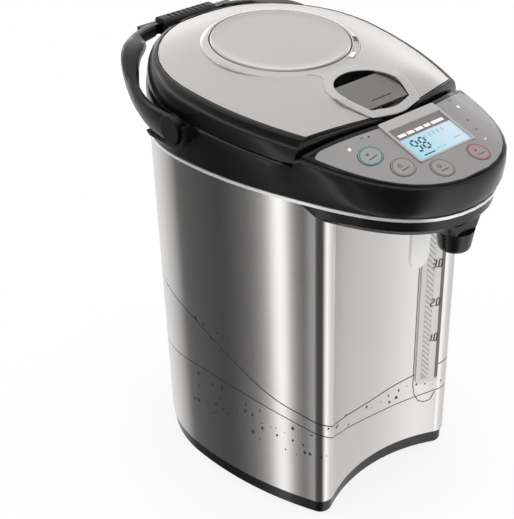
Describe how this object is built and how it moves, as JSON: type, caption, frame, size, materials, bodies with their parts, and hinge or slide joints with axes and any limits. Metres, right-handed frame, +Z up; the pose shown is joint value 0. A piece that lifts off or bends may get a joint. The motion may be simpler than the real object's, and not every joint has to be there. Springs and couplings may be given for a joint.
{
  "type": "electric thermo pot",
  "caption": "Electric thermo pot with a pouring beak, crowned control panel with display, latch-opened lid with air-pump plate, water gauge, cup lever and a swing-up carrying handle.",
  "frame": {"origin": "on the pot's vertical axis, in the plane the feet stand on", "axes": "+Z up, +X to the right when looking along +Y, the front with the pouring beak faces -Y"},
  "size_m": [0.219, 0.3212, 0.3539],
  "materials": {
    "brushed_steel": "brushed",
    "panel_steel": "satin",
    "lid_metal": "satin",
    "bright_trim": "polished",
    "polished_steel": "polished",
    "black_gloss": "gloss",
    "black_plastic": "satin",
    "panel_film": "satin",
    "latch_grey": "satin",
    "key_grey": "satin",
    "white_plastic": "satin",
    "clear_plastic": "gloss",
    "clear_tube": "gloss",
    "display": "gloss",
    "rubber": "matte",
    "silicone": "matte",
    "insulation": "matte",
    "aluminium": "satin",
    "steel_small": "satin",
    "brass": "satin",
    "board_green": "satin"
  },
  "bodies": {
    "base": {"outer_sleeve": "brushed_steel", "front_panel": "panel_steel", "gauge_cover": "clear_plastic", "gauge_scale": "white_plastic", "level_tube": "clear_tube", "base_band": "black_gloss", "bottom_cover": "black_plastic", "rubber_feet": "rubber", "bottom_screws": "steel_small", "inlet_socket": "black_plastic", "inlet_pins": "brass", "inner_pot": "polished_steel", "insulation": "insulation", "heater_plate": "aluminium", "thermostats": "aluminium", "pump_body": "white_plastic", "pump_motor": "aluminium", "pump_hose": "silicone", "riser_hose": "silicone", "power_board": "board_green", "collar": "black_gloss", "trim_ring": "bright_trim", "beak_underside": "black_gloss", "head_top": "black_gloss", "control_panel": "panel_film", "lcd_bezel": "white_plastic", "lcd_module": "display", "control_board": "board_green", "nozzle_shroud": "black_gloss", "spout_tube": "white_plastic", "cup_lever_pin": "steel_small", "cup_lever_spring": "steel_small", "cup_switch": "black_plastic", "lid_hinge_pin": "steel_small", "handle_pins": "steel_small"},
    "impeller": {"pump_impeller": "white_plastic"},
    "lid": {"lid_frame": "black_gloss", "lid_plate": "lid_metal", "lid_trim": "bright_trim", "latch_well": "black_plastic", "latch_pin": "steel_small", "latch_spring": "steel_small", "press_spring": "steel_small", "bellows": "rubber", "lid_plug": "black_plastic", "inner_lid": "polished_steel", "lid_gasket": "silicone", "steam_valve": "silicone"},
    "latch": {"latch_lever": "latch_grey"},
    "press": {"press_plate": "lid_metal"},
    "slider": {"lock_slider": "white_plastic"},
    "handle": {"handle": "black_gloss", "handle_grip": "black_plastic"},
    "lever": {"cup_lever": "clear_plastic"},
    "button_left_rear": {"key_left_rear": "key_grey"},
    "button_left_front": {"key_left_front": "key_grey"},
    "button_front_left": {"key_front_left": "key_grey"},
    "button_front_right": {"key_front_right": "key_grey"}
  },
  "joints": [
    {"name": "lid_hinge", "type": "hinge", "parent": "base", "child": "lid", "pos_m": [0, 0.09067, 0.33295], "axis": [-1, 0, 0], "range_deg": [0, 88]},
    {"name": "air_pump_press", "type": "slide", "parent": "lid", "child": "press", "axis": [0, 0.0872, -0.9962], "range_m": [0, 0.013], "stiffness_N_per_m": 500, "springref_m": -0.003, "deforming": ["press_spring", "bellows"]},
    {"name": "latch_pivot", "type": "hinge", "parent": "lid", "child": "latch", "pos_m": [0, -0.11225, 0.33126], "axis": [1, 0, 0], "range_deg": [0, 22], "stiffness_Nm_per_rad": 0.06, "springref_deg": -17.19},
    {"name": "lock_slide", "type": "hinge", "parent": "lid", "child": "slider", "pos_m": [0, -0.00235, 0.3464], "axis": [0, -0.0872, 0.9962], "range_deg": [0, 28]},
    {"name": "handle_swing", "type": "hinge", "parent": "base", "child": "handle", "pos_m": [0, -0.008, 0.312], "axis": [1, 0, 0], "range_deg": [0, 90]},
    {"name": "cup_lever_pivot", "type": "hinge", "parent": "base", "child": "lever", "pos_m": [0, -0.15, 0.276], "axis": [1, 0, 0], "range_deg": [0, 12], "stiffness_Nm_per_rad": 0.02, "springref_deg": -11.46},
    {"name": "impeller_spin", "type": "hinge", "parent": "base", "child": "impeller", "pos_m": [0, 0, 0.037], "axis": [0, 0, 1], "continuous": true},
    {"name": "press_left_rear", "type": "slide", "parent": "base", "child": "button_left_rear", "axis": [0.2194, 0.2799, -0.9346], "range_m": [0, 0.0008], "stiffness_N_per_m": 600, "springref_m": -0.0006},
    {"name": "press_left_front", "type": "slide", "parent": "base", "child": "button_left_front", "axis": [0.1408, 0.2919, -0.946], "range_m": [0, 0.0008], "stiffness_N_per_m": 600, "springref_m": -0.0006},
    {"name": "press_front_left", "type": "slide", "parent": "base", "child": "button_front_left", "axis": [0.0303, 0.2905, -0.9564], "range_m": [0, 0.0008], "stiffness_N_per_m": 600, "springref_m": -0.0006},
    {"name": "press_front_right", "type": "slide", "parent": "base", "child": "button_front_right", "axis": [-0.0324, 0.2907, -0.9563], "range_m": [0, 0.0008], "stiffness_N_per_m": 600, "springref_m": -0.0006}
  ]
}
